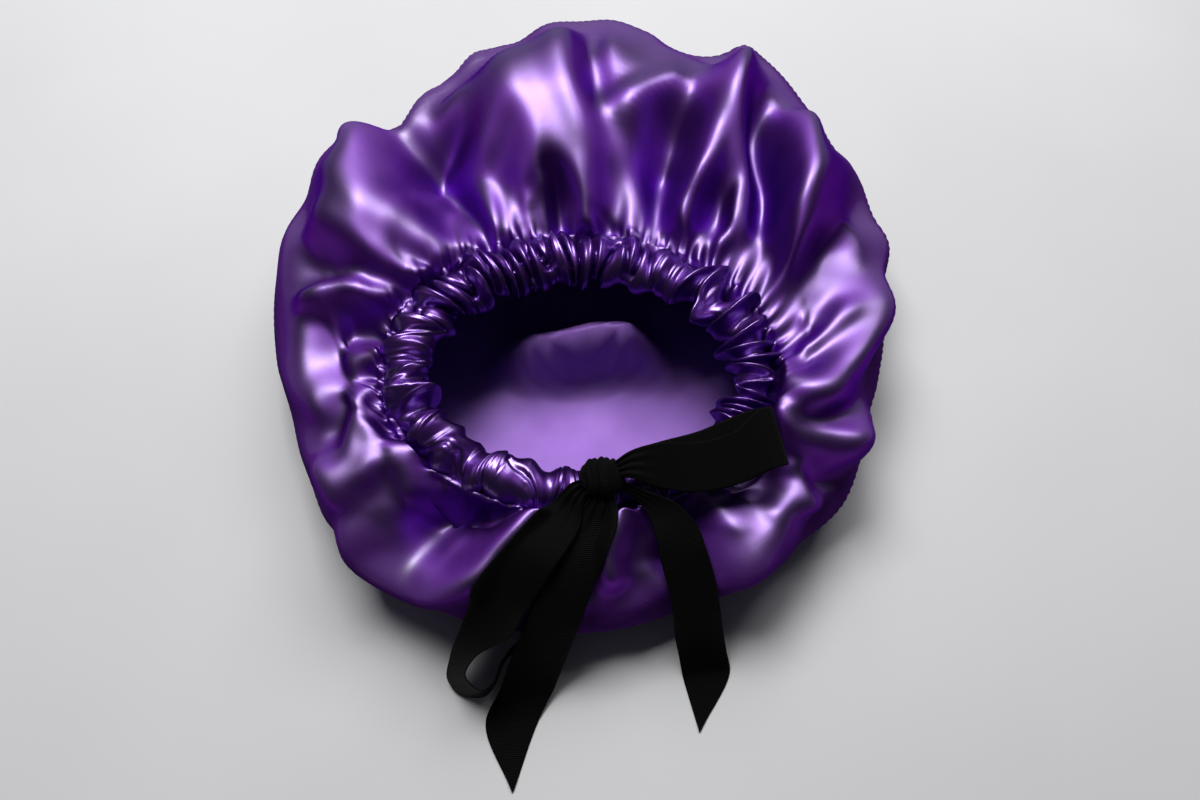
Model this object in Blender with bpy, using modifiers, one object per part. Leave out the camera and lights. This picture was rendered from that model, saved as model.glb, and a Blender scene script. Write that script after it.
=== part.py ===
"""Sleep bonnet of thin satin, lying on its crown with the mouth up.

Frame: metres, +Z up. The origin is on the floor at the middle of the flattened patch that the
crown rests on. -Y is the side where the bow is tied, +X is to the right seen from there.
The crown is one hollow pouch, open at the top. Its edge is gathered to a ruched casing, and a
wide ribbon is tied in a bow over the front of the casing.
"""

import math

import bmesh
import bpy
import numpy as np

from mathutils.bvhtree import BVHTree

MM = 0.001

# The mouth: centre line of the ruched casing, seen from above, in mm.
MOUTH_X = 0.0
MOUTH_Y = -72.5
MOUTH_HALF_X = 93.5
MOUTH_HALF_Y = 65.5

# The casing: a soft tube round the mouth, in mm.
CASING_HALF_WIDTH = 13.5
CASING_HALF_HEIGHT = 11.5
CASING_LIFT = 1.5
CASING_COLUMNS = 144
CASING_SIDES = 8
RUFFLES = 48
RUFFLE_DEPTH = 3.0

# The crown, in mm.
CROWN_WALL = 1.5
CROWN_COLUMNS = 120
GAP = 0.3
GATHERS = 30
GATHER_DEPTH = 2.6
GATHER_REACH = 0.3
FOLD_SHARE = 1.1

# The ribbon, in mm.
RIBBON_THICK = 1.0
LOOP_ROWS = 34
TAIL_ROWS = 20
RIBBON_COLUMNS = 3

# The knot, in mm.
KNOT_X = 12.0
KNOT_Y = -136.0
KNOT_Z = 78.5
KNOT_HALF_X = 12.0
KNOT_HALF_Y = 11.0
KNOT_HALF_Z = 8.0

# Outline of the crown seen from above. Columns: angle in degrees from +X, reach in mm.
OUTLINE = (
    (0, 183),
    (20, 185),
    (38, 189),
    (55, 201),
    (67, 182),
    (86, 193),
    (105, 179),
    (122, 170),
    (140, 161),
    (152, 171),
    (170, 180),
    (190, 182),
    (210, 184),
    (230, 201),
    (245, 205),
    (262, 205),
    (285, 201),
    (300, 196),
    (316, 202),
    (330, 189),
    (345, 184),
)

# Section of the crown. Columns: place (0 casing, 1 widest line, 2 inner edge of the flat
# patch), share of the way out, height at the back, height at the sides, height at the front.
SECTION = (
    (0.00, 0.00, 74, 69, 60),
    (0.10, 0.07, 81, 74, 62),
    (0.25, 0.22, 93, 81, 64),
    (0.45, 0.46, 101, 82, 61),
    (0.65, 0.70, 97, 74, 55),
    (0.82, 0.89, 82, 61, 46),
    (1.00, 1.00, 53, 41, 32),
    (1.30, 0.97, 22, 18, 15),
    (1.60, 0.89, 5, 4, 3),
    (2.00, 0.78, 0, 0, 0),
)

# Main folds. Columns: the fold's line as points (angle, place), height in mm (less than 0 is a
# valley), half width in mm.
FOLDS = (
    # left side
    (((120, 0.03), (126, 0.18), (132, 0.31), (140, 0.48), (146, 1.07)), 14, 12),
    (((125, 0.02), (132, 0.21), (138, 0.38), (144, 0.48)), -5, 9),
    (((130, 0.00), (136, 0.17), (144, 0.33), (150, 0.50), (151, 0.68)), 8, 9),
    (((136, 0.06), (142, 0.20), (149, 0.32), (154, 0.41)), -6, 9),
    (((134, 0.00), (143, 0.11), (152, 0.25), (158, 0.40), (160, 0.59)), 10, 10),
    (((142, 0.04), (152, 0.20), (163, 0.39), (170, 0.66)), -7, 13),
    (((144, 0.03), (156, 0.19), (165, 0.36), (174, 0.54), (182, 0.70)), 8, 9),
    (((160, 0.04), (172, 0.24), (180, 0.47), (186, 0.66)), -9, 14),
    (((174, 0.00), (180, 0.21), (188, 0.43), (193, 0.65)), 5, 14),
    (((186, 0.00), (195, 0.14), (210, 0.34), (221, 0.54), (225, 0.71)), 8, 8),
    (((200, 0.00), (196, 0.00), (206, 0.22)), 5, 6),
    (((214, 0.00), (218, 0.18), (217, 0.36)), 6, 6),
    (((212, 0.22), (222, 0.47), (225, 0.63)), -5, 8),
    (((244, 0.00), (237, 0.27), (233, 0.52), (233, 0.69)), -10, 17),
    (((260, 0.00), (254, 0.25), (250, 0.58), (244, 0.69), (239, 0.59)), 7, 10),
    (((231, 0.62), (237, 0.79), (244, 0.84), (250, 0.76)), 5, 10),
    # back
    (((124, 0.10), (124, 0.28), (126, 0.46), (126, 0.63)), -10, 26),
    (((146, 0.70), (127, 0.78), (113, 0.84), (107, 0.91)), 6, 9),
    (((112, 0.00), (113, 0.12), (116, 0.24), (117, 0.30)), 8, 9),
    (((108, 0.39), (110, 0.50), (106, 0.56)), -7, 12),
    (((85, 0.00), (88, 0.13), (90, 0.25), (95, 0.32), (101, 0.45), (104, 1.11)), 14, 12),
    (((94, 0.01), (95, 0.16), (96, 0.24), (98, 0.29)), -7, 9),
    (((94, 0.00), (98, 0.08), (99, 0.18), (100, 0.24)), 6, 6),
    (((83, 0.13), (86, 0.29), (90, 0.44), (94, 0.61), (96, 0.97)), 6, 10),
    (((85, 0.34), (86, 0.49), (85, 0.63), (85, 1.00)), -5, 10),
    (((82, 0.94), (83, 0.58), (78, 0.55), (69, 0.68), (62, 0.93)), 9, 8),
    (((76, 0.97), (73, 0.73), (69, 0.72)), -3, 10),
    (((64, 0.64), (72, 0.56), (78, 0.44), (83, 0.34)), 7, 8),
    (((83, 0.34), (80, 0.28), (76, 0.18), (72, 0.07), (70, 0.00)), 9, 8),
    (((82, 0.00), (81, 0.06), (81, 0.11)), -5, 9),
    (((68, 0.53), (68, 0.39), (69, 0.27), (68, 0.11)), -9, 15),
    (((72, 0.31), (69, 0.20), (67, 0.05)), 4, 5),
    (((54, 0.05), (60, 0.11), (62, 0.19), (60, 0.29), (56, 0.40), (56, 0.51), (60, 0.70)), 13, 10),
    (((50, 0.13), (52, 0.23), (54, 0.31)), -7, 11),
    (((51, 0.06), (46, 0.18), (46, 0.29), (48, 0.36)), 7, 7),
    (((38, 0.15), (42, 0.29), (48, 0.42), (54, 0.55), (58, 1.03)), 6, 8),
    (((36, 0.23), (40, 0.38), (46, 0.52), (52, 0.65)), -5, 13),
    (((28, 0.17), (33, 0.35), (36, 0.52), (42, 0.68)), 6, 16),
    # right side
    (((22, 0.20), (25, 0.38), (26, 0.61), (29, 0.90)), -9, 16),
    (((20, 0.06), (20, 0.19), (17, 0.38), (12, 0.53), (3, 0.64), (357, 0.64)), 10, 12),
    (((20, 0.14), (18, 0.19), (12, 0.28), (358, 0.42)), -6, 9),
    (((2, 0.08), (356, 0.28), (356, 0.47), (358, 0.60)), 5, 9),
    (((0, 0.00), (344, 0.27), (343, 0.49), (349, 0.65), (357, 0.76), (8, 0.93)), 8, 9),
    (((354, 0.00), (340, 0.27), (336, 0.52), (338, 0.72)), -6, 9),
    (((348, 0.00), (332, 0.37), (328, 0.64), (331, 0.90)), 7, 9),
    (((333, 0.16), (324, 0.45), (322, 0.69)), -7, 12),
    # front
    (((324, 0.26), (316, 0.48), (314, 0.71), (316, 0.93)), 8, 9),
    (((311, 0.38), (308, 0.63), (300, 0.83), (294, 0.91)), 8, 13),
    (((309, 0.02), (304, 0.28), (299, 0.57), (294, 0.76)), 7, 8),
    (((310, 0.26), (304, 0.48), (300, 0.66)), -6, 8),
    (((296, 0.04), (290, 0.48), (284, 0.78)), -6, 12),
    (((285, 0.00), (280, 0.40), (280, 0.75)), 5, 10),
)

# Ribbon pieces. Columns: x, y, z of one edge, x, y, z of the other edge, least height above
# what lies under the row, all in mm.
LOOP_RIGHT = (
    (25, -124, 82, 25, -136, 80, 3.5),
    (41, -117, 79, 41, -140, 72, 3.0),
    (62, -111, 79, 62, -139, 73, 3.5),
    (80, -104, 82, 82, -134, 75, 3.0),
    (93, -100, 84, 100, -130, 77, 2.5),
    (99, -101, 88, 107, -130, 81, 4.0),
    (93, -103, 91, 100, -133, 85, 6.0),
    (80, -108, 89, 82, -138, 82, 5.5),
    (62, -115, 85, 62, -142, 79, 6.0),
    (41, -119, 83, 41, -141, 77, 6.0),
    (25, -126, 86, 25, -138, 84, 6.5),
)
LOOP_LEFT = (
    (-1.4, -138.5, 78, 3.2, -147.5, 78, 7.0),
    (-15, -148, 72, 1, -160, 74, 4.5),
    (-34, -168, 72, -12, -181, 69, 4.5),
    (-49, -185, 59, -25, -197, 55, 4.0),
    (-60, -201, 39, -33, -211, 46, 3.5),
    (-69, -217, 18, -49, -220, 37, 3.0),
    (-71, -227, 5, -54, -229, 29, 1.0),
    (-64, -234, 2, -50, -235, 28, 1.0),
    (-52, -235, 2, -44, -230, 28, 1.0),
    (-46, -229, 4, -41, -220, 24, 1.0),
    (-42, -220, 9, -33, -210, 24, 1.0),
    (-33, -211, 24, -15, -208.5, 30, 1.5),
    (-28, -202, 41, -8, -202, 42, 2.0),
    (-18, -184, 58, 2, -189, 55, 2.0),
    (-4, -164, 66, 12, -172, 65, 2.0),
    (4, -148, 69, 14, -153, 68, 2.0),
)
TAIL_LEFT = (
    (5, -147.4, 76, 19, -147.8, 76, 4.5),
    (-2, -157, 72, 20, -159, 71, 4.5),
    (-12, -173, 67, 14, -175, 67, 4.5),
    (-21, -191, 57, 6, -192, 57, 4.5),
    (-27, -204, 46, 1, -204, 46, 4.5),
    (-33, -214, 34, -4, -213, 32, 1.5),
    (-38, -223, 21, -9, -222, 18, 1.0),
    (-43, -233, 8, -14, -232, 7, 1.0),
    (-50, -246, 1.2, -21, -245, 1.2, 1.0),
    (-35, -283, 1.2, -34, -282, 1.2, 1.0),
)
TAIL_RIGHT = (
    (23.6, -143.4, 76, 25, -139, 78.5, 2.5),
    (31, -147, 71, 37, -143, 76, 2.5),
    (36, -154, 69, 50, -148, 73, 2.5),
    (39, -163, 67, 59, -156, 69, 2.5),
    (42, -175, 60, 66, -171, 62, 2.5),
    (46, -187, 51, 71, -184, 50, 2.5),
    (49, -198, 38, 74, -196, 38, 2.5),
    (51, -207, 22, 77, -205, 22, 1.5),
    (54, -216, 8, 80, -213, 8, 1.0),
    (56, -224, 1.2, 82, -220, 1.2, 1.0),
    (64, -253, 1.2, 65, -252, 1.2, 1.0),
)


def smooth(x):
    x = np.clip(x, 0.0, 1.0)
    return x * x * (3 - 2 * x)


def hermite(x, left, right, step, slope_left, slope_right):
    """Cubic between two values with given slopes, where x runs from 0 to 1."""
    return (
        (2 * x**3 - 3 * x**2 + 1) * left
        + (x**3 - 2 * x**2 + x) * step * slope_left
        + (3 * x**2 - 2 * x**3) * right
        + (x**3 - x**2) * step * slope_right
    )


def outline_reach(turn):
    """Reach of the crown's widest line in mm, at an angle in radians."""
    table = np.array(OUTLINE, float)
    closed = np.concatenate([table[-2:] - (360, 0), table, table[:3] + (360, 0)])
    degrees = np.mod(np.degrees(turn), 360)
    row = np.searchsorted(closed[:, 0], degrees, side="right") - 1
    slope = np.gradient(closed[:, 1], closed[:, 0])
    step = closed[row + 1, 0] - closed[row, 0]
    x = (degrees - closed[row, 0]) / step
    return hermite(x, closed[row, 1], closed[row + 1, 1], step, slope[row], slope[row + 1])


def section(place, column):
    """A column of the section table, at a place along the section."""
    table = np.array(SECTION, float)
    row = np.searchsorted(table[:, 0], place, side="right") - 1
    row = np.clip(row, 0, len(table) - 2)
    slope = np.gradient(table[:, column], table[:, 0])
    step = table[row + 1, 0] - table[row, 0]
    x = np.clip((place - table[row, 0]) / step, 0, 1)
    return hermite(
        x, table[row, column], table[row + 1, column], step, slope[row], slope[row + 1]
    )


def blend_height(turn, back, side, front):
    lean = np.sin(turn)
    far = np.where(lean > 0, back, front)
    return side + (far - side) * np.abs(lean) ** 1.3


def crown_base(turn, place):
    """The crown's smooth surface in mm, before its folds."""
    turn, place = np.broadcast_arrays(turn, place)
    reach = outline_reach(turn)
    edge_x = reach * np.cos(turn)
    edge_y = reach * np.sin(turn)
    out = CASING_HALF_WIDTH + GAP
    rim_x = MOUTH_X + (MOUTH_HALF_X + out) * np.cos(turn)
    rim_y = MOUTH_Y + (MOUTH_HALF_Y + out) * np.sin(turn)
    share = section(place, 1)
    over = np.where(place <= 1, share, 1.0)
    under = np.where(place > 1, share, 1.0)
    x = (rim_x + (edge_x - rim_x) * over) * under
    y = (rim_y + (edge_y - rim_y) * over) * under
    z = blend_height(turn, section(place, 2), section(place, 3), section(place, 4))
    return np.stack([x, y, z], axis=-1)


def surface_normal(turn, place):
    small = 0.01
    along = crown_base(turn + small, place) - crown_base(turn - small, place)
    low = np.clip(place - small, 0, 2)
    high = np.clip(place + small, 0, 2)
    outward = crown_base(turn, high) - crown_base(turn, low)
    normal = np.cross(outward, along)
    return normal / np.linalg.norm(normal, axis=-1, keepdims=True)


def fold_line(points):
    """A smooth line over the crown through the points of a fold."""
    path = np.array(points, float)
    path[:, 0] = np.degrees(np.unwrap(np.radians(path[:, 0])))
    slope = np.gradient(path, axis=0)
    wanted = np.linspace(0, len(path) - 1, 6 * (len(path) - 1) + 1)
    row = np.minimum(wanted.astype(int), len(path) - 2)
    x = (wanted - row)[:, None]
    path = hermite(x, path[row], path[row + 1], 1, slope[row], slope[row + 1])
    return crown_base(np.radians(path[:, 0]), np.maximum(path[:, 1], 0))


def fold_height(points):
    """How far the main folds lift each point of the smooth surface, in mm."""
    flat = points.reshape(-1, 3)
    total = np.zeros(len(flat))
    for path, height, width in FOLDS:
        line = fold_line(path)
        best = np.full(len(flat), 1e9)
        where = np.zeros(len(flat))
        for index in range(len(line) - 1):
            a = line[index]
            ab = line[index + 1] - a
            part = np.clip((flat - a) @ ab / (ab @ ab), 0, 1)
            distance = np.linalg.norm(flat - a - part[:, None] * ab, axis=1)
            nearer = distance < best
            best = np.where(nearer, distance, best)
            where = np.where(nearer, (index + part) / (len(line) - 1), where)
        begin = 1.0 if path[0][1] < 0.04 else smooth(where / 0.25)
        spread = 5 + width * (0.9 + 0.5 * where)
        bell = np.exp(-((best / spread) ** 2)) - 0.3 * np.exp(-((best / (2.4 * spread)) ** 2))
        total += height * bell * begin * smooth((1 - where) / 0.3)
    return total.reshape(points.shape[:-1])


def crown_surface(turn, place):
    """The crown's outer surface in mm, with its folds and gathers."""
    turn, place = np.broadcast_arrays(turn, place)
    base = crown_base(turn, place)
    fade = smooth((1.45 - place) / 0.4) * smooth(place / 0.06 + 0.35)
    wander = 0.35 * np.sin(3 * turn + 1.0) + 0.25 * np.sin(7 * turn)
    gather = GATHER_DEPTH * np.cos(GATHERS * turn + 3 * wander)
    gather = gather * np.exp(-place / GATHER_REACH)
    lift = (FOLD_SHARE * fold_height(base) + gather) * fade
    lean = smooth(place / 0.2)[..., None]
    direction = surface_normal(turn, place) * lean + (1 - lean) * np.array([0.0, 0.0, 1.0])
    direction = direction / np.linalg.norm(direction, axis=-1, keepdims=True)
    return base + direction * lift[..., None]


def casing_centre(turn):
    x = MOUTH_X + MOUTH_HALF_X * np.cos(turn)
    y = MOUTH_Y + MOUTH_HALF_Y * np.sin(turn)
    z = blend_height(turn, SECTION[0][2], SECTION[0][3], SECTION[0][4]) + CASING_LIFT
    return np.stack([x, y, z], axis=-1)


def casing_surface(turn, around, grow=0.0, ruffled=True):
    """Surface of the casing in mm. around is 0 at its outer side and a quarter turn at its top."""
    turn, around = np.broadcast_arrays(turn, around)
    outward = np.stack([np.cos(turn), np.sin(turn), np.zeros_like(turn)], axis=-1)
    centre = casing_centre(turn)
    wander = 1.2 * np.sin(5 * turn) + 0.8 * np.sin(11 * turn + 2)
    lean = 0.9 * np.sin(2 * around + 4 * turn)
    wave = 0.5 + 0.5 * np.cos(RUFFLES * turn + wander + lean)
    away = smooth((1 - np.cos(around)) / 0.5)
    depth = RUFFLE_DEPTH * wave * away if ruffled else 0.0
    wide = CASING_HALF_WIDTH + grow - depth
    high = CASING_HALF_HEIGHT + grow - depth
    point = centre + outward * (wide * np.cos(around))[..., None]
    point[..., 2] += high * np.sin(around)
    return point


def make_object(name, points, faces, material, collection):
    mesh = bpy.data.meshes.new(name)
    mesh.from_pydata([tuple(p) for p in np.asarray(points) * MM], [], faces)
    mesh.update()
    piece = bpy.data.objects.new(name, mesh)
    collection.objects.link(piece)
    if material:
        mesh.materials.append(material)
    return piece


def outward_normals(piece):
    work = bmesh.new()
    work.from_mesh(piece.data)
    bmesh.ops.recalc_face_normals(work, faces=work.faces)
    if work.calc_volume(signed=True) < 0:
        bmesh.ops.reverse_faces(work, faces=work.faces)
    work.to_mesh(piece.data)
    work.free()


def grid_faces(columns, rows, start=0):
    """Quads between rings of points, each ring closed on itself."""
    faces = []
    for row in range(rows - 1):
        for column in range(columns):
            after = (column + 1) % columns
            low = start + row * columns
            high = low + columns
            faces.append((low + column, low + after, high + after, high + column))
    return faces


def make_crown(material, collection):
    turn = np.linspace(0, 2 * math.pi, CROWN_COLUMNS, endpoint=False)
    places = (0, 0.06, 0.13, 0.22, 0.33, 0.46, 0.60, 0.74, 0.88, 1.0, 1.15, 1.35, 1.6, 2.0)
    points = crown_surface(turn[None, :], np.array(places)[:, None]).reshape(-1, 3)
    middle = points[-CROWN_COLUMNS:] * (0.45, 0.45, 1.0)
    points = np.concatenate([points, middle, [(0, 0, 0)]])
    rings = len(places) + 1
    faces = grid_faces(CROWN_COLUMNS, rings)
    last = (rings - 1) * CROWN_COLUMNS
    for column in range(CROWN_COLUMNS):
        faces.append((last + column, last + (column + 1) % CROWN_COLUMNS, len(points) - 1))
    faces = [tuple(reversed(face)) for face in faces]
    crown = make_object("crown", points, faces, material, collection)
    wall = crown.modifiers.new("wall", "SOLIDIFY")
    wall.thickness = CROWN_WALL * MM
    wall.offset = -1
    return crown, points, faces


def make_casing(material, collection):
    turn = np.linspace(0, 2 * math.pi, CASING_COLUMNS, endpoint=False)
    around = np.linspace(0, 2 * math.pi, CASING_SIDES, endpoint=False)
    points = casing_surface(turn[None, :], around[:, None]).reshape(-1, 3)
    faces = grid_faces(CASING_COLUMNS, CASING_SIDES)
    last = (CASING_SIDES - 1) * CASING_COLUMNS
    for column in range(CASING_COLUMNS):
        after = (column + 1) % CASING_COLUMNS
        faces.append((last + column, last + after, after, column))
    casing = make_object("band_casing", points, faces, material, collection)
    outward_normals(casing)
    return casing, points, faces


def make_knot(material, collection, cutters):
    rows = 15
    columns = 28
    up = np.linspace(-math.pi / 2, math.pi / 2, rows)[1:-1, None]
    turn = np.linspace(0, 2 * math.pi, columns, endpoint=False)[None, :]
    shape = 0.75
    flat = np.sign(np.cos(turn)) * np.abs(np.cos(turn)) ** shape
    deep = np.sign(np.sin(turn)) * np.abs(np.sin(turn)) ** shape
    ring = np.cos(up) ** shape
    pleat = 1 + 0.05 * np.cos(9 * turn + 2 * up)
    x = KNOT_X + KNOT_HALF_X * flat * ring
    y = KNOT_Y + KNOT_HALF_Y * deep * ring * pleat
    tall = np.sign(np.sin(up)) * np.abs(np.sin(up)) ** shape
    z = KNOT_Z + KNOT_HALF_Z * tall * (1 + 0.06 * np.cos(5 * turn))
    points = np.stack([x, y, z], axis=-1).reshape(-1, 3)
    ends = [(KNOT_X, KNOT_Y, KNOT_Z - KNOT_HALF_Z), (KNOT_X, KNOT_Y, KNOT_Z + KNOT_HALF_Z)]
    points = np.concatenate([points, ends])
    faces = grid_faces(columns, rows - 2)
    last = (rows - 3) * columns
    for column in range(columns):
        after = (column + 1) % columns
        faces.append((after, column, len(points) - 2))
        faces.append((last + column, last + after, len(points) - 1))
    knot = make_object("bow_knot", points, faces, material, collection)
    outward_normals(knot)

    # Under the knot, the hollow where it sits on the casing.
    turn = np.linspace(math.radians(250), math.radians(310), 25)
    around = np.linspace(0, 2 * math.pi, 20, endpoint=False)
    tube = casing_surface(turn[:, None], around[None, :], GAP + 0.2, False)
    faces = grid_faces(20, 25)
    faces.append(tuple(range(20)))
    faces.append(tuple(range(24 * 20, 25 * 20)))
    cutter = make_object("knot_seat_cutter", tube.reshape(-1, 3), faces, None, cutters)
    outward_normals(cutter)
    cutter.hide_render = True
    cutter.display_type = "WIRE"
    seat = knot.modifiers.new("seat", "BOOLEAN")
    seat.operation = "DIFFERENCE"
    seat.solver = "EXACT"
    seat.object = cutter
    return knot


def through_rows(table, count):
    """Rows at even steps along a smooth curve through the rows of a table."""
    table = np.array(table, float)
    middle = (table[:, 0:3] + table[:, 3:6]) / 2
    run = np.concatenate([[0], np.cumsum(np.linalg.norm(np.diff(middle, axis=0), axis=1))])
    slope = np.gradient(table, run, axis=0)
    wanted = np.linspace(0, run[-1], count)
    row = np.clip(np.searchsorted(run, wanted, side="right") - 1, 0, len(run) - 2)
    step = (run[row + 1] - run[row])[:, None]
    x = (wanted - run[row])[:, None] / step
    return hermite(x, table[row], table[row + 1], step, slope[row], slope[row + 1])


def make_ribbon(name, table, count, below, material, collection):
    """A strip along a table of edge points, laid over the surfaces below it."""
    rows = through_rows(table, count)
    across = np.linspace(0, 1, RIBBON_COLUMNS + 1)[None, :, None]
    grid = rows[:, None, 0:3] * (1 - across) + rows[:, None, 3:6] * across
    for i in range(count):
        for j in range(RIBBON_COLUMNS + 1):
            x, y, z = grid[i, j]
            for tree in below:
                hit = tree.ray_cast((x, y, 300.0), (0, 0, -1))[0]
                if hit and hit.z > 20:
                    grid[i, j, 2] = max(grid[i, j, 2], hit.z + rows[i, 6])
            grid[i, j, 2] = max(grid[i, j, 2], RIBBON_THICK / 2 + GAP)
    along = np.gradient(grid, axis=0)
    width = np.gradient(grid, axis=1)
    normal = np.cross(along, width)
    normal /= np.linalg.norm(normal, axis=-1, keepdims=True)
    top = grid + normal * RIBBON_THICK / 2
    bottom = grid - normal * RIBBON_THICK / 2
    points = np.concatenate([top.reshape(-1, 3), bottom.reshape(-1, 3)])
    wide = RIBBON_COLUMNS + 1
    under = count * wide
    faces = []
    for i in range(count - 1):
        for j in range(RIBBON_COLUMNS):
            a = i * wide + j
            faces.append((a, a + 1, a + wide + 1, a + wide))
            faces.append((under + a, under + a + wide, under + a + wide + 1, under + a + 1))
        for j in (0, RIBBON_COLUMNS):
            a = i * wide + j
            faces.append((a, a + wide, under + a + wide, under + a))
    for i in (0, count - 1):
        for j in range(RIBBON_COLUMNS):
            a = i * wide + j
            faces.append((a, a + 1, under + a + 1, under + a))
    ribbon = make_object(name, points, faces, material, collection)
    outward_normals(ribbon)
    return ribbon


def make_material(name, colour, roughness, sheen):
    material = bpy.data.materials.new(name)
    material.use_nodes = True
    shader = material.node_tree.nodes["Principled BSDF"]
    shader.inputs["Base Color"].default_value = (*colour, 1)
    shader.inputs["Roughness"].default_value = roughness
    shader.inputs["Sheen Weight"].default_value = sheen
    return material


def main():
    for piece in list(bpy.data.objects):
        bpy.data.objects.remove(piece)
    collection = bpy.data.collections.new("sleep_bonnet")
    cutters = bpy.data.collections.new("cutters")
    bpy.context.scene.collection.children.link(collection)
    bpy.context.scene.collection.children.link(cutters)
    satin = make_material("satin", (0.16, 0.05, 0.36), 0.3, 0.3)
    casing_satin = make_material("casing_satin", (0.19, 0.06, 0.40), 0.3, 0.3)
    ribbon = make_material("ribbon", (0.006, 0.006, 0.007), 0.75, 0.1)

    crown, crown_points, crown_faces = make_crown(satin, collection)
    casing, casing_points, casing_faces = make_casing(casing_satin, collection)
    make_knot(ribbon, collection, cutters)
    below = (
        BVHTree.FromPolygons([tuple(p) for p in crown_points], crown_faces),
        BVHTree.FromPolygons([tuple(p) for p in casing_points], casing_faces),
    )
    for name, table, count in (
        ("bow_loop_right", LOOP_RIGHT, LOOP_ROWS),
        ("bow_loop_left", LOOP_LEFT, LOOP_ROWS),
        ("bow_tail_left", TAIL_LEFT, TAIL_ROWS),
        ("bow_tail_right", TAIL_RIGHT, TAIL_ROWS),
    ):
        make_ribbon(name, table, count, below, ribbon, collection)


main()
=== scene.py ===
"""The looks of the sleep bonnet: satin crown, ruched casing, grosgrain bow, floor, window light."""

import math

import bpy
import numpy as np
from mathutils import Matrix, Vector
from mathutils.bvhtree import BVHTree


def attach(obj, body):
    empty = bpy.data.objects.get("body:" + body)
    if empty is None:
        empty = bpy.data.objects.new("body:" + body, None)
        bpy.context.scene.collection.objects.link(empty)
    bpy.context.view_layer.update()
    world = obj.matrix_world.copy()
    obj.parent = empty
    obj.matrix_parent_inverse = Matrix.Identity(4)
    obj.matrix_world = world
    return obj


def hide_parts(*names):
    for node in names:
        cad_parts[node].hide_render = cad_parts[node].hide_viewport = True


MM = 0.001

# Sizes in mm. These down to SECTION are the part's source's own.
MOUTH_X = 0.0
MOUTH_Y = -72.5
MOUTH_HALF_X = 93.5
MOUTH_HALF_Y = 65.5
CASING_HALF_WIDTH = 13.5
CASING_HALF_HEIGHT = 11.5
CASING_LIFT = 1.5
GAP = 0.3

# Columns: angle in degrees from +X, reach.
OUTLINE = (
    (0, 183),
    (20, 185),
    (38, 189),
    (55, 201),
    (67, 182),
    (86, 193),
    (105, 179),
    (122, 170),
    (140, 161),
    (152, 171),
    (170, 180),
    (190, 182),
    (210, 184),
    (230, 201),
    (245, 205),
    (262, 205),
    (285, 201),
    (300, 196),
    (316, 202),
    (330, 189),
    (345, 184),
)

# Columns: place, share of the way out, height at the back, at the sides, at the front.
SECTION = (
    (0.00, 0.00, 74, 69, 60),
    (0.10, 0.07, 81, 74, 62),
    (0.25, 0.22, 93, 81, 64),
    (0.45, 0.46, 101, 82, 61),
    (0.65, 0.70, 97, 74, 55),
    (0.82, 0.89, 82, 61, 46),
    (1.00, 1.00, 53, 41, 32),
    (1.30, 0.97, 22, 18, 15),
    (1.60, 0.89, 5, 4, 3),
    (2.00, 0.78, 0, 0, 0),
)

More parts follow.
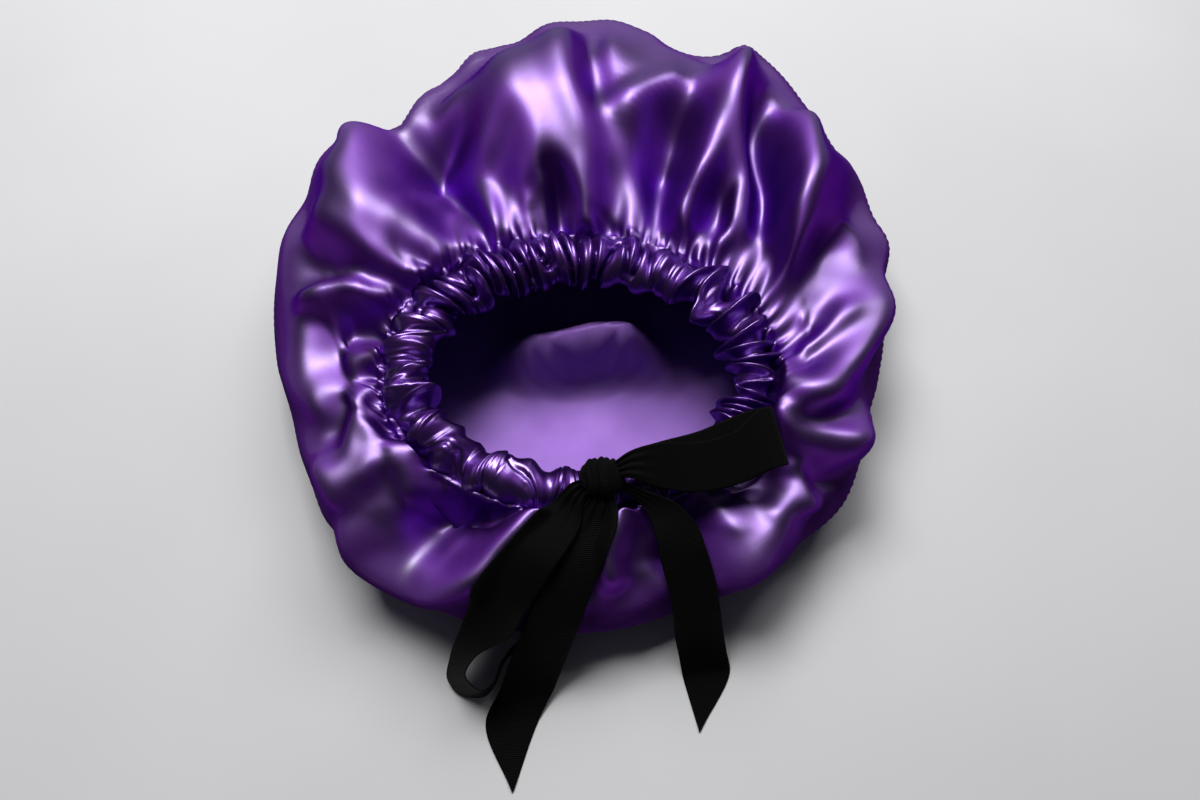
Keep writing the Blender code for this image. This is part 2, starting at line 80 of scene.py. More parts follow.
# Folds of the crown. Their lines were traced over the photo, and then moved a little and given
# these heights and widths by a fit to it. The part's source has plainer ones. Columns: the fold's
# line as points (angle, place), height in mm (less than 0 is a valley), half width at its start,
# half width at its end.
FOLDS = (
    # left, from the back round to the front
    (((123, 0.01), (132, 0.18), (135, 0.29), (143, 0.48), (148, 0.92), (152, 0.82)),
       8.8, 6.9, 22.8),
    (((117, 0.05), (122, 0.23), (127, 0.36), (133, 0.50), (142, 0.92)), -8.3, 3.5, 6.7),
    (((125, 0.04), (132, 0.23), (139, 0.40), (147, 0.49)), -5.5, 5.9, 11.4),
    (((132, 0.02), (141, 0.18), (149, 0.35), (152, 0.50), (154, 0.68), (155, 0.78)),
       9.8, 6.4, 19.1),
    (((136, 0.06), (142, 0.20), (149, 0.33), (154, 0.43)), -2.4, 4.9, 13.5),
    (((139, 0.00), (150, 0.17), (155, 0.26), (160, 0.40), (163, 0.60), (165, 0.74)),
       13.0, 5.9, 21.0),
    (((143, 0.04), (153, 0.21), (164, 0.39), (171, 0.68)), -4.9, 7.0, 19.6),
    (((148, 0.04), (162, 0.19), (169, 0.33), (179, 0.51), (187, 0.71)), 11.2, 5.6, 8.3),
    (((165, 0.04), (180, 0.26), (189, 0.44), (195, 0.68)), -15.6, 8.6, 21.2),
    (((174, 0.00), (182, 0.23), (188, 0.43), (195, 0.67)), 9.3, 6.9, 19.1),
    (((186, 0.00), (196, 0.19), (211, 0.41), (222, 0.56), (225, 0.72)), 5.7, 5.1, 12.7),
    (((196, 0.00), (196, 0.03), (206, 0.25)), 3.5, 4.8, 8.3),
    (((215, 0.00), (221, 0.17), (218, 0.36)), 3.5, 6.9, 8.7),
    (((212, 0.22), (222, 0.46), (225, 0.63)), -0.7, 7.0, 9.0),
    (((242, 0.00), (241, 0.27), (241, 0.54), (238, 0.70)), -15.4, 13.3, 20.5),
    (((261, 0.00), (255, 0.33), (253, 0.59), (249, 0.76), (244, 0.93), (236, 0.94), (231, 0.80),
       (226, 0.71)), 9.4, 8.6, 11.1),
    # back, from left to right
    (((125, 0.11), (126, 0.30), (129, 0.51), (127, 0.68)), -15.2, 17.2, 33.0),
    (((148, 0.70), (129, 0.82), (115, 0.85), (108, 0.91)), 4.1, 8.4, 7.4),
    (((110, 0.01), (115, 0.11), (118, 0.24), (118, 0.30)), 3.4, 6.3, 11.8),
    (((109, 0.10), (112, 0.27), (108, 0.37), (108, 0.52)), -5.1, 8.8, 16.9),
    (((88, 0.00), (89, 0.16), (95, 0.24), (98, 0.30), (105, 0.45), (108, 0.91), (109, 0.92)),
       6.4, 7.4, 27.1),
    (((96, 0.01), (97, 0.16), (98, 0.22), (102, 0.25)), -9.2, 8.2, 6.0),
    (((94, 0.00), (99, 0.07), (99, 0.19), (100, 0.25)), 6.1, 3.9, 5.4),
    (((85, 0.11), (88, 0.29), (93, 0.45), (95, 0.61), (97, 0.93)), 7.7, 7.9, 20.6),
    (((86, 0.37), (87, 0.51), (88, 0.65), (87, 0.74)), -6.1, 6.8, 7.6),
    (((83, 0.92), (85, 0.58), (80, 0.57), (71, 0.67), (63, 0.89)), 2.0, 6.3, 9.1),
    (((76, 0.92), (73, 0.74), (69, 0.72)), 1.8, 9.1, 10.3),
    (((65, 0.62), (70, 0.56), (77, 0.46), (83, 0.34)), 7.7, 9.7, 12.7),
    (((71, 0.00), (75, 0.07), (75, 0.18), (81, 0.28), (84, 0.34)), 2.4, 5.7, 9.5),
    (((82, 0.00), (82, 0.08), (81, 0.10)), -5.5, 7.1, 8.2),
    (((65, 0.08), (67, 0.28), (65, 0.38), (65, 0.55)), -16.7, 8.9, 20.6),
    (((70, 0.05), (72, 0.20), (74, 0.31)), 2.2, 3.5, 5.6),
    (((55, 0.04), (61, 0.14), (63, 0.21), (60, 0.29), (60, 0.40), (58, 0.53), (57, 0.70),
       (58, 0.93)), 12.2, 6.6, 19.8),
    (((49, 0.12), (51, 0.22), (54, 0.31)), -9.6, 8.0, 11.1),
    (((49, 0.06), (47, 0.20), (48, 0.28), (48, 0.34)), 5.9, 6.3, 7.2),
    (((40, 0.16), (43, 0.32), (50, 0.41), (55, 0.54), (58, 0.92)), 10.7, 4.1, 8.2),
    (((37, 0.22), (41, 0.35), (48, 0.53), (51, 0.64)), -14.6, 8.2, 13.6),
    (((26, 0.20), (31, 0.38), (36, 0.53), (39, 0.68), (43, 0.71)), 9.3, 9.1, 20.7),
    # right
    (((22, 0.22), (26, 0.39), (26, 0.61), (27, 0.90)), 7.1, 8.5, 21.0),
    (((25, 0.08), (23, 0.23), (24, 0.38), (18, 0.58), (9, 0.68), (2, 0.63)), 4.4, 5.8, 7.5),
    (((21, 0.14), (19, 0.19), (13, 0.27), (359, 0.42)), 0.1, 5.9, 10.3),
    (((2, 0.10), (358, 0.26), (357, 0.48), (359, 0.62)), 4.6, 7.0, 6.8),
    (((0, 0.01), (341, 0.29), (344, 0.51), (349, 0.67), (357, 0.75), (9, 0.93)), 8.0, 9.6, 18.7),
    (((352, 0.00), (337, 0.27), (335, 0.52), (336, 0.72)), 2.7, 6.0, 9.5),
    (((343, 0.04), (327, 0.34), (324, 0.65), (330, 0.90)), 12.5, 5.4, 13.8),
    (((335, 0.16), (327, 0.43), (324, 0.70)), -3.9, 7.8, 14.4),
    # front, from right to left
    (((324, 0.26), (316, 0.48), (313, 0.72), (316, 0.92)), 3.8, 5.8, 10.2),
    (((312, 0.38), (310, 0.64), (302, 0.86), (294, 0.91)), 6.8, 10.4, 17.8),
    (((308, 0.02), (304, 0.28), (298, 0.56), (293, 0.76)), 2.3, 6.3, 9.8),
    (((311, 0.28), (304, 0.48), (297, 0.65)), 3.4, 6.9, 8.8),
    (((296, 0.03), (291, 0.48), (284, 0.78)), -8.6, 9.3, 13.8),
    (((284, 0.00), (276, 0.39), (277, 0.75)), 8.8, 7.9, 8.7),
    # more on the left front, and then on the right and the right front
    (((189, 0.62), (186, 0.49), (190, 0.43), (196, 0.39), (196, 0.28), (200, 0.25), (210, 0.36),
       (218, 0.51), (224, 0.67)), -0.2, 8.0, 8.0),
    (((216, 0.71), (221, 0.70), (226, 0.71), (229, 0.76)), 7.4, 7.9, 7.9),
    (((202, 0.35), (210, 0.53), (217, 0.72)), -3.7, 8.2, 8.7),
    (((200, 0.21), (210, 0.26), (218, 0.35), (224, 0.48), (226, 0.67)), 3.8, 5.6, 5.4),
    (((217, 0.00), (215, 0.12), (218, 0.32)), 3.0, 5.3, 6.8),
    (((241, 0.71), (244, 0.75), (245, 0.65), (245, 0.48), (246, 0.35)), 4.5, 5.5, 3.5),
    (((247, 0.00), (246, 0.15), (247, 0.33)), 3.4, 3.9, 4.5),
    (((21, 0.92), (13, 0.95), (0, 0.81), (351, 0.71), (348, 0.53), (347, 0.38)), 1.2, 7.7, 8.2),
    (((15, 0.15), (6, 0.27), (1, 0.41), (0, 0.57)), 1.6, 5.2, 5.5),
    (((346, 0.00), (332, 0.28), (328, 0.48), (328, 0.70), (332, 0.82)), 4.7, 5.4, 6.9),
    (((350, 0.04), (338, 0.32), (336, 0.58)), -0.6, 6.0, 7.8),
    (((331, 0.23), (325, 0.48), (322, 0.70)), -3.2, 7.0, 9.9),
    (((321, 0.33), (319, 0.47), (316, 0.59), (313, 0.72), (315, 0.87)), 5.4, 4.5, 5.5),
    (((313, 0.45), (305, 0.65), (297, 0.80), (292, 0.85)), 7.4, 8.4, 9.9),
    (((306, 0.13), (302, 0.35), (301, 0.48), (306, 0.39)), 0.2, 5.0, 5.0),
    (((282, 0.50), (285, 0.72), (288, 0.89)), 1.9, 7.0, 6.9),
)

# Broad swells and hollows of the crown, whose heights all come from that fit. Columns: angle,
# height at the places of SWELL_PLACES.
SWELL_PLACES = (0.25, 0.5, 0.8, 1.0)
SWELLS = (
    (0, -3.1, -0.9, -2.0, -0.5),
    (15, -1.6, -3.3, -1.8, 0.4),
    (30, -2.3, 2.2, -2.3, -0.6),
    (45, 0.9, -0.9, -3.0, -0.7),
    (60, -0.8, -1.0, -8.9, -2.3),
    (75, -4.3, -0.8, -2.5, -1.8),
    (90, -1.2, 0.5, -5.8, -0.8),
    (105, -0.7, 1.9, -7.8, -1.9),
    (120, -0.1, -0.9, -5.0, -0.1),
    (135, -0.8, -3.8, -2.3, -0.1),
    (150, 0.2, -1.3, 0.4, 0.0),
    (165, 0.6, -0.8, 0.0, 0.0),
    (180, -2.4, -1.1, 0.3, 0.0),
    (195, -2.4, 0.0, -0.3, 0.0),
    (210, -0.2, -2.6, 1.3, 0.1),
    (225, 0.0, 1.1, 2.2, 0.1),
    (240, -0.8, 0.0, -0.4, -0.2),
    (255, -1.9, -1.5, 0.5, 0.1),
    (270, -0.2, -0.8, -0.2, 0.1),
    (285, -0.1, -1.4, -0.8, 0.0),
    (300, -3.1, 0.4, 2.2, 0.1),
    (315, -3.0, -3.1, -1.6, -1.1),
    (330, 0.9, 1.8, -1.0, -1.0),
    (345, 0.4, 0.5, -1.8, -0.3),
)
SWELL_WIDTH = 24.0

# Ribbon pieces. Both tails are as in the part's source, and so is each loop but for two rows of
# LOOP_RIGHT and three of LOOP_LEFT. Columns: x, y, z of one edge, x, y, z of the other edge, least
# height of the solid ribbon above what lies under the row.
LOOP_RIGHT = (
    (25, -124, 82, 25, -136, 80, 3.5),
    (41, -117, 79, 41, -140, 72, 3.0),
    (62, -111, 79, 62, -139, 73, 3.5),
    (80, -104, 82, 82, -134, 75, 3.0),
    (93, -100, 84, 100, -130, 77, 2.5),
    (99, -101, 88, 107, -130, 81, 4.0),
    (93, -103, 91, 100, -133, 85, 6.0),
    (80, -114, 88, 83, -140, 82, 5.5),
    (62, -119, 85, 62, -144, 79, 6.0),
    (41, -119, 83, 41, -141, 77, 6.0),
    (25, -126, 86, 25, -138, 84, 6.5),
)
LOOP_LEFT = (
    (-1.4, -138.5, 78, 3.2, -147.5, 78, 7.0),
    (-15, -148, 72, 1, -160, 74, 4.5),
    (-34, -168, 72, -12, -181, 69, 4.5),
    (-49, -185, 59, -25, -197, 55, 4.0),
    (-60, -201, 39, -35, -211, 48, 3.5),
    (-69, -217, 18, -53, -220, 40, 3.0),
    (-71, -227, 5, -58, -229, 31, 1.0),
    (-64, -234, 2, -50, -235, 28, 1.0),
    (-52, -235, 2, -44, -230, 28, 1.0),
    (-46, -229, 4, -41, -220, 24, 1.0),
    (-42, -220, 9, -33, -210, 24, 1.0),
    (-33, -211, 24, -15, -208.5, 30, 1.5),
    (-28, -202, 41, -8, -202, 42, 2.0),
    (-18, -184, 58, 2, -189, 55, 2.0),
    (-4, -164, 66, 12, -172, 65, 2.0),
    (4, -148, 69, 14, -153, 68, 2.0),
)
TAIL_LEFT = (
    (5, -147.4, 76, 19, -147.8, 76, 4.5),
    (-2, -157, 72, 20, -159, 71, 4.5),
    (-12, -173, 67, 14, -175, 67, 4.5),
    (-21, -191, 57, 6, -192, 57, 4.5),
    (-27, -204, 46, 1, -204, 46, 4.5),
    (-33, -214, 34, -4, -213, 32, 1.5),
    (-38, -223, 21, -9, -222, 18, 1.0),
    (-43, -233, 8, -14, -232, 7, 1.0),
    (-50, -246, 1.2, -21, -245, 1.2, 1.0),
    (-35, -283, 1.2, -34, -282, 1.2, 1.0),
)
TAIL_RIGHT = (
    (23.6, -143.4, 76, 25, -139, 78.5, 2.5),
    (31, -147, 71, 37, -143, 76, 2.5),
    (36, -154, 69, 50, -148, 73, 2.5),
    (39, -163, 67, 59, -156, 69, 2.5),
    (42, -175, 60, 66, -171, 62, 2.5),
    (46, -187, 51, 71, -184, 50, 2.5),
    (49, -198, 38, 74, -196, 38, 2.5),
    (51, -207, 22, 77, -205, 22, 1.5),
    (54, -216, 8, 80, -213, 8, 1.0),
    (56, -224, 1.2, 82, -220, 1.2, 1.0),
    (64, -253, 1.2, 65, -252, 1.2, 1.0),
)
KNOT = (12.0, -136.0, 78.5)
KNOT_HALF = (12.0, 11.0, 8.0)

# The crown's cloth. Columns: threads round, threads outwards, rounds of settling.
CLOTH_LEVELS = ((128, 16, 90), (256, 32, 100), (512, 64, 130))
# Spare cloth that each level adds at the rim, and how far outwards it reaches.
EXCESS = ((0.0, 0.5), (0.15, 0.08), (0.4, 0.03))
# Ripples that each level starts from: height, reach and waves round. The first are left flat, but
# are still drawn.
SEED_HEIGHT = (0.0, 2.0, 0.8)
SEED_REACH = (1.0, 0.15, 0.03)
SEED_COUNTS = ((8, 16), (24, 44), (70, 140))
FOLD_SHARE = 2.4
# Smoothing of the cloth in each round, at the rim and further out.
SOFT_RIM = 0.03
SOFT_OUT = 0.4
# Pull towards the home shape in each round: everywhere, more at the rim, more underneath.
HOLD = 0.03
HOLD_RIM = 0.05
HOLD_UNDER = 0.03
# Longest thread against the smooth crown, along the rows and outwards.
FULL_ROUND = 1.25
FULL_OUT = 1.015
# Threads two steps long that push the cloth flat. Columns: rows, columns, stiffness.
BENDS = ((0, 2, 0.1), (2, 0, 0.1))
# Stiffness of the threads along the grid and aslant, the length of the pushing ones against that
# at home, and the share of its motion that a point carries into the next round.
STIFF_ALONG = 0.9
STIFF_DIAGONAL = 0.1
PUSH_SHORT = 0.97
CARRY = 0.85
# The place from which the crown is fixed. Then, in mm: the rim's rise over the smooth crown, the
# radius of the flat cut, the cloth's thickness and the lowest that it may lie.
FIXED_FROM = 1.6
RIM_RISE = 5.0
CROWN_CUT = 330.0
CLOTH_THICK = 0.5
CLOTH_LOWEST = 0.6
# The rim tucked inside the casing. Columns: share of the casing's width, drop. TUCK_STEP is the
# flat cloth in each step, and FLOOR_RINGS are shares of the way out under the crown.
TUCK = ((0.75, 0.0), (0.5, 5.0), (0.2, 12.0))
TUCK_STEP = 5
FLOOR_RINGS = (0.93, 0.86, 0.78, 0.70, 0.62, 0.54, 0.47, 0.41, 0.36, 0.32, 0.28, 0.245, 0.21, 0.18)
FLOOR_RINGS += (0.15, 0.12, 0.09, 0.06, 0.03)

# The casing's cloth: points round and across, how far its middle line wanders, rounds of
# settling, share of spare cloth, how far its base lies inside the solid casing across and up, mm
# of flat cloth in a radian, and its least and greatest distance from the middle line.
CASING_GRID = (1000, 90)
CASING_WANDER = 1.8
CASING_ROUNDS = 12
CASING_SPARE = 0.03
CASING_INSIDE = (5.5, 5.0)
CASING_TURN = 95
CORE = 6.0
FARTHEST = 19.0
# Columns: angle, size of the section against its middle size, ruffles per turn, share of rounded
# puffs against thin standing folds.
CASING_FOLDS = (
    (0, 1.00, 28, 0.1),
    (18, 1.22, 18, 0.0),
    (45, 1.22, 20, 0.1),
    (70, 1.00, 36, 0.8),
    (95, 0.96, 44, 1.0),
    (125, 0.98, 42, 1.0),
    (150, 1.02, 30, 0.8),
    (168, 1.14, 15, 0.3),
    (200, 1.16, 13, 0.3),
    (225, 1.08, 18, 0.5),
    (250, 1.02, 22, 0.6),
    (272, 0.94, 28, 0.5),
    (300, 0.86, 42, 0.2),
    (335, 0.88, 42, 0.1),
)

# The ribbon's width, its thickness, the columns of its mesh and the lowest that it may lie, then
# the height and reach of its pleats by the knot.
RIBBON_WIDTH = 29
RIBBON_THICK = 0.45
RIBBON_COLUMNS = 24
RIBBON_LOWEST = 0.7
PLEAT_HEIGHT = 1.1
PLEAT_REACH = 17
# The tables' least heights are for the solids' thick ribbon. Here THICK_ABOVE of one becomes
# THIN_ABOVE, and THIN_SHARE of the rest is kept. What lies lower than UNDER_FROM lifts no ribbon.
THICK_ABOVE = 2
THIN_ABOVE = 0.6
THIN_SHARE = 0.6
UNDER_FROM = 20
# Flat ribbon of the knot: mm in half its length, and in a radian round it.
KNOT_FLAT = (14, 10)

# Where the skirt near the floor gets its painted shade, a darker base colour that stands for the
# shadow there, and turns matt, as reaches in metres from the middle of the flat cut, and the
# greatest weight of the satin's coat.
SKIRT_PAINTED_SHADE = (0.247, 0.272)
SKIRT_MATT = (0.249, 0.271)
COAT = 0.42

# Camera: degrees below level, the point it looks at and how far off it is, in metres. Then half
# of the floor's side, in mm.
CAMERA_TILT = 67
CAMERA_AIM = (0.011, -0.060, 0)
CAMERA_AWAY = 0.61
FLOOR_HALF = 1500

# Columns: piece, node, table, rows inside the knot, rows of the mesh, length of the ribbon in m,
# length of it left after the slanted cut, how it is held.
RIBBONS = (
    (
        "loop_right_ribbon",
        "bow_loop_right",
        LOOP_RIGHT,
        ((13, -133, 79, 13, -138, 79, 3), (13, -134, 81, 13, -139, 81, 3)),
        140,
        0.19,
        0.19,
        "folded",
    ),
    (
        "loop_left_ribbon",
        "bow_loop_left",
        LOOP_LEFT,
        ((6, -136, 79, 9, -140, 79, 3), (9, -138, 77, 12, -140, 77, 3)),
        180,
        0.28,
        0.28,
        "folded",
    ),
    (
        "tail_left_ribbon",
        "bow_tail_left",
        TAIL_LEFT,
        ((9, -139, 77, 14, -139, 77, 3),),
        100,
        0.18,
        0.18 - 0.015,
        "laid",
    ),
    (
        "tail_right_ribbon",
        "bow_tail_right",
        TAIL_RIGHT,
        ((14, -139, 77, 15, -136, 79, 3),),
        100,
        0.165,
        0.165 - 0.015,
        "laid",
    ),
)


def smooth(x):
    x = np.clip(x, 0.0, 1.0)
    return x * x * (3 - 2 * x)


def hermite(x, left, right, step, slope_left, slope_right):
    return (
        (2 * x**3 - 3 * x**2 + 1) * left
        + (x**3 - 2 * x**2 + x) * step * slope_left
        + (3 * x**2 - 2 * x**3) * right
        + (x**3 - x**2) * step * slope_right
    )


def outline_reach(turn):
    table = np.array(OUTLINE, float)
    closed = np.concatenate([table[-2:] - (360, 0), table, table[:3] + (360, 0)])
    degrees = np.mod(np.degrees(turn), 360)
    row = np.searchsorted(closed[:, 0], degrees, side="right") - 1
    slope = np.gradient(closed[:, 1], closed[:, 0])
    step = closed[row + 1, 0] - closed[row, 0]
    x = (degrees - closed[row, 0]) / step
    return hermite(x, closed[row, 1], closed[row + 1, 1], step, slope[row], slope[row + 1])


def section(place, column):
    table = np.array(SECTION, float)
    row = np.clip(np.searchsorted(table[:, 0], place, side="right") - 1, 0, len(table) - 2)
    slope = np.gradient(table[:, column], table[:, 0])
    step = table[row + 1, 0] - table[row, 0]
    x = np.clip((place - table[row, 0]) / step, 0, 1)
    return hermite(
        x, table[row, column], table[row + 1, column], step, slope[row], slope[row + 1]
    )


def blend_height(turn, back, side, front):
    lean = np.sin(turn)
    far = np.where(lean > 0, back, front)
    return side + (far - side) * np.abs(lean) ** 1.3


def crown_base(turn, place):
    turn, place = np.broadcast_arrays(turn, place)
    reach = outline_reach(turn)
    edge_x = reach * np.cos(turn)
    edge_y = reach * np.sin(turn)
    out = CASING_HALF_WIDTH + GAP
    rim_x = MOUTH_X + (MOUTH_HALF_X + out) * np.cos(turn)
    rim_y = MOUTH_Y + (MOUTH_HALF_Y + out) * np.sin(turn)
    share = section(place, 1)
    over = np.where(place <= 1, share, 1.0)
    under = np.where(place > 1, share, 1.0)
    x = (rim_x + (edge_x - rim_x) * over) * under
    y = (rim_y + (edge_y - rim_y) * over) * under
    z = blend_height(turn, section(place, 2), section(place, 3), section(place, 4))
    return np.stack([x, y, z], axis=-1)


def surface_normal(turn, place):
    small = 0.01
    along = crown_base(turn + small, place) - crown_base(turn - small, place)
    low = np.clip(place - small, 0, 2)
    high = np.clip(place + small, 0, 2)
    outward = crown_base(turn, high) - crown_base(turn, low)
    normal = np.cross(outward, along)
    return normal / np.linalg.norm(normal, axis=-1, keepdims=True)


def fold_line(points):
    """A smooth line over the crown through the (angle, place) points of a fold."""
    path = np.array(points, float)
    path[:, 0] = np.degrees(np.unwrap(np.radians(path[:, 0])))
    slope = np.gradient(path, axis=0)
    wanted = np.linspace(0, len(path) - 1, 6 * (len(path) - 1) + 1)
    row = np.minimum(wanted.astype(int), len(path) - 2)
    x = (wanted - row)[:, None]
    path = hermite(x, path[row], path[row + 1], 1, slope[row], slope[row + 1])
    return crown_base(np.radians(path[:, 0]), np.maximum(path[:, 1], 0))


def fold_height(points):
    flat = points.reshape(-1, 3)
    total = np.zeros(len(flat))
    for path, height, thin, wide in FOLDS:
        line = fold_line(path)
        best = np.full(len(flat), 1e9)
        where = np.zeros(len(flat))
        for index in range(len(line) - 1):
            a = line[index]
            ab = line[index + 1] - a
            part = np.clip((flat - a) @ ab / (ab @ ab), 0, 1)
            distance = np.linalg.norm(flat - a - part[:, None] * ab, axis=1)
            nearer = distance < best
            best = np.where(nearer, distance, best)
            where = np.where(nearer, (index + part) / (len(line) - 1), where)
        begin = 1.0 if path[0][1] < 0.04 else smooth(where / 0.25)
        low = 0.3 if path[-1][1] > 0.8 else 0.0
        end = low + (1 - low) * smooth((1 - where) / 0.3)
        spread = thin + (wide - thin) * where
        bell = np.exp(-((best / spread) ** 2)) - 0.3 * np.exp(-((best / (2.4 * spread)) ** 2))
        total += height * bell * begin * end
    for angle, *heights in SWELLS:
        for place, height in zip(SWELL_PLACES, heights):
            middle = crown_base(math.radians(angle), place)
            distance = np.linalg.norm(flat - middle, axis=1)
            total += height * np.exp(-((distance / SWELL_WIDTH) ** 2))
    return total.reshape(points.shape[:-1])


def grid_faces(columns, rows):
    column = np.arange(columns)
    after = (column + 1) % columns
    faces = []
    for row in range(rows - 1):
        low = row * columns
        high = low + columns
        quads = np.stack([low + column, high + column, high + after, low + after], axis=-1)
        faces.extend(map(tuple, quads.tolist()))
    return faces


def make_object(name, points, faces, materials):
    mesh = bpy.data.meshes.new(name)
    mesh.from_pydata([tuple(p) for p in np.asarray(points) * MM], [], faces)
    mesh.update()
    mesh.shade_smooth()
    for material in materials:
        mesh.materials.append(material)
    piece = bpy.data.objects.new(name, mesh)
    bpy.context.scene.collection.objects.link(piece)
    return piece


def set_uv(mesh, uv):
    """One UV per vertex, in metres of flat cloth."""
    layer = mesh.uv_layers.new(name="cloth")
    loops = np.empty(len(mesh.loops), np.int32)
    mesh.loops.foreach_get("vertex_index", loops)
    layer.data.foreach_set("uv", np.asarray(uv, np.float32)[loops].ravel())


def waves(turn, rng, counts):
    """A sum of waves round the mouth, with random phases, of unit height."""
    total = np.zeros_like(turn)
    for count in counts:
        total += rng.normal() * np.cos(count * turn) + rng.normal() * np.sin(count * turn)
    return total / np.sqrt(len(counts))


def pull(points, ease, a, b, rest, stiff, push_only):
    """Moves the two ends of each thread towards its length. a and b index the grid."""
    gap = points[b] - points[a]
    length = np.sqrt((gap * gap).sum(-1)) + 1e-9
    off = (length - rest) / length
    if push_only:
        off = np.minimum(off, 0)
    total = ease[a] + ease[b]
    off = stiff * off / np.maximum(total, 1e-9)
    gap *= off[..., None]
    points[a] += gap * ease[a][..., None]
    points[b] -= gap * ease[b][..., None]


def pairs(rows, columns, down, across):
    """Index sets of threads from each point to the one down and across from it."""
    row = np.arange(rows - down)
    column = np.arange(columns)
    if down:
        groups = [(row[(row // down) % 2 == part], column) for part in (0, 1)]
    else:
        groups = [(row, column[(column // across) % 2 == part]) for part in (0, 1)]
    return [(np.ix_(r, c), np.ix_(r + down, (c + across) % columns)) for r, c in groups]


def bend_of(points):
    """How far the mean of each point's neighbours lies from it."""
    tall = np.concatenate([points[:1], points, points[-1:]])
    mean = tall[:-2] + tall[2:] + np.roll(points, 1, axis=1) + np.roll(points, -1, axis=1)
    return mean / 4 - points


def grid_steps(points):
    """The length of one step round and one step down at each point of a closed grid."""
    across = np.linalg.norm(np.roll(points, -1, axis=1) - points, axis=-1)
    down = np.linalg.norm(np.diff(points, axis=0), axis=-1)
    down = np.concatenate([down, down[-1:]])
    return across, down


def thread_lengths(home, spare, a, b, step_down, step_across):
    """Cut lengths of the threads a to b: as at home, with spare cloth along each row."""
    whole = ((home[b] - home[a]) ** 2).sum(-1)
    across, down = grid_steps(home)
    wide = (across[a] * step_across) ** 2
    tall = (down[a] * step_down) ** 2
    shear = (whole - wide - tall) / 2
    more = spare[a]
    return np.sqrt(np.maximum(whole + (2 * more + more**2) * wide + 2 * more * shear, 0.01))


def settle(points, home, cut, spare, ease, hold, rounds, soft, limit):
    """Relaxes a grid of threads, closed round its columns, and returns the settled points.

    Each thread takes its length from the home shape, with a share more along the rows (spare).
    None may be much longer than on the cut shape, so folds that are too steep are pulled out. A
    point moves by its ease, where 0 is fixed. In each round it is also pulled home (hold) and
    smoothed (soft), and limit keeps it in its room.
    """
    rows, columns = points.shape[:2]
    plan = [(0, 1, STIFF_ALONG, False), (1, 0, STIFF_ALONG, False)]
    plan += [(1, 1, STIFF_DIAGONAL, False), (1, -1, STIFF_DIAGONAL, False)]
    plan += [(*bend, True) for bend in BENDS]
    threads = []
    for step_down, step_across, stiff, push_only in plan:
        stiff = np.broadcast_to(stiff, (rows, 1))
        for a, b in pairs(rows, columns, step_down, step_across):
            length = thread_lengths(home, spare, a, b, step_down, step_across)
            flat = thread_lengths(cut, spare, a, b, step_down, step_across)
            length = np.minimum(length, (FULL_ROUND if step_across else FULL_OUT) * flat)
            length *= PUSH_SHORT if push_only else 1
            threads.append((a, b, length, stiff[a[0][:, 0]], push_only))
    free = (ease > 0)[..., None]
    before = points.copy()
    for _ in range(rounds):
        speed = points - before
        before = points.copy()
        points = points + CARRY * speed * free
        for a, b, length, stiff, push_only in threads:
            pull(points, ease, a, b, length, stiff, push_only)
        points -= soft * free * bend_of(bend_of(points))
        points += hold[..., None] * free * (home - points)
        points = limit(points)
    return points


def finer(grid, rows, columns):
    """The grid resampled to more rows and columns, closed round its columns."""
    old_rows, old_columns = grid.shape[:2]
    r = np.linspace(0, old_rows - 1, rows)
    low = np.minimum(r.astype(int), old_rows - 2)
    part = (r - low)[:, None, None]
    grid = grid[low] * (1 - part) + grid[low + 1] * part
    c = np.arange(columns) * old_columns / columns
    low = c.astype(int)
    x = (c - low)[None, :, None]
    p0, p1 = grid[:, (low - 1) % old_columns], grid[:, low]
    p2, p3 = grid[:, (low + 1) % old_columns], grid[:, (low + 2) % old_columns]
    curve = 2 * p0 - 5 * p1 + 4 * p2 - p3 + x * (3 * (p1 - p2) + p3 - p0)
    return p1 + 0.5 * x * (p2 - p0 + x * curve)


def crown_grid(columns, rows):
    """Angles and places on the crown, its smooth shape, its outward direction, its folded shape."""
    turn = np.linspace(0, 2 * math.pi, columns, endpoint=False)[None, :]
    run = np.linspace(0, 1, rows)[:, None]
    place = np.where(run < 0.8, (run / 0.8) ** 1.3, 1 + (run - 0.8) / 0.2)
    base = crown_base(turn, place)
    base[..., 2] += RIM_RISE * np.exp(-place / 0.08)
    normal = surface_normal(turn, place)
    lean = smooth(place / 0.2)[..., None]
    normal = normal * lean + (1 - lean) * np.array([0.0, 0.0, 1.0])
    normal /= np.linalg.norm(normal, axis=-1, keepdims=True)
    folds = fold_height(base) * smooth((1.45 - place) / 0.4) * smooth(place / 0.06 + 0.35)
    pleats = waves(turn, np.random.default_rng(3), range(46, 76)) * np.exp(-place / 0.09)
    drape = waves(turn + 0.4 * place, np.random.default_rng(4), range(12, 30))
    drape = drape * smooth((place - 0.55) / 0.25) * smooth((1.15 - place) / 0.3)
    home = base + normal * (FOLD_SHARE * folds + 0.9 * pleats + 1.2 * drape)[..., None]
    return turn, place, base, normal, home


def above_floor(points):
    points[..., 2] = np.maximum(points[..., 2], CLOTH_LOWEST)
    return points


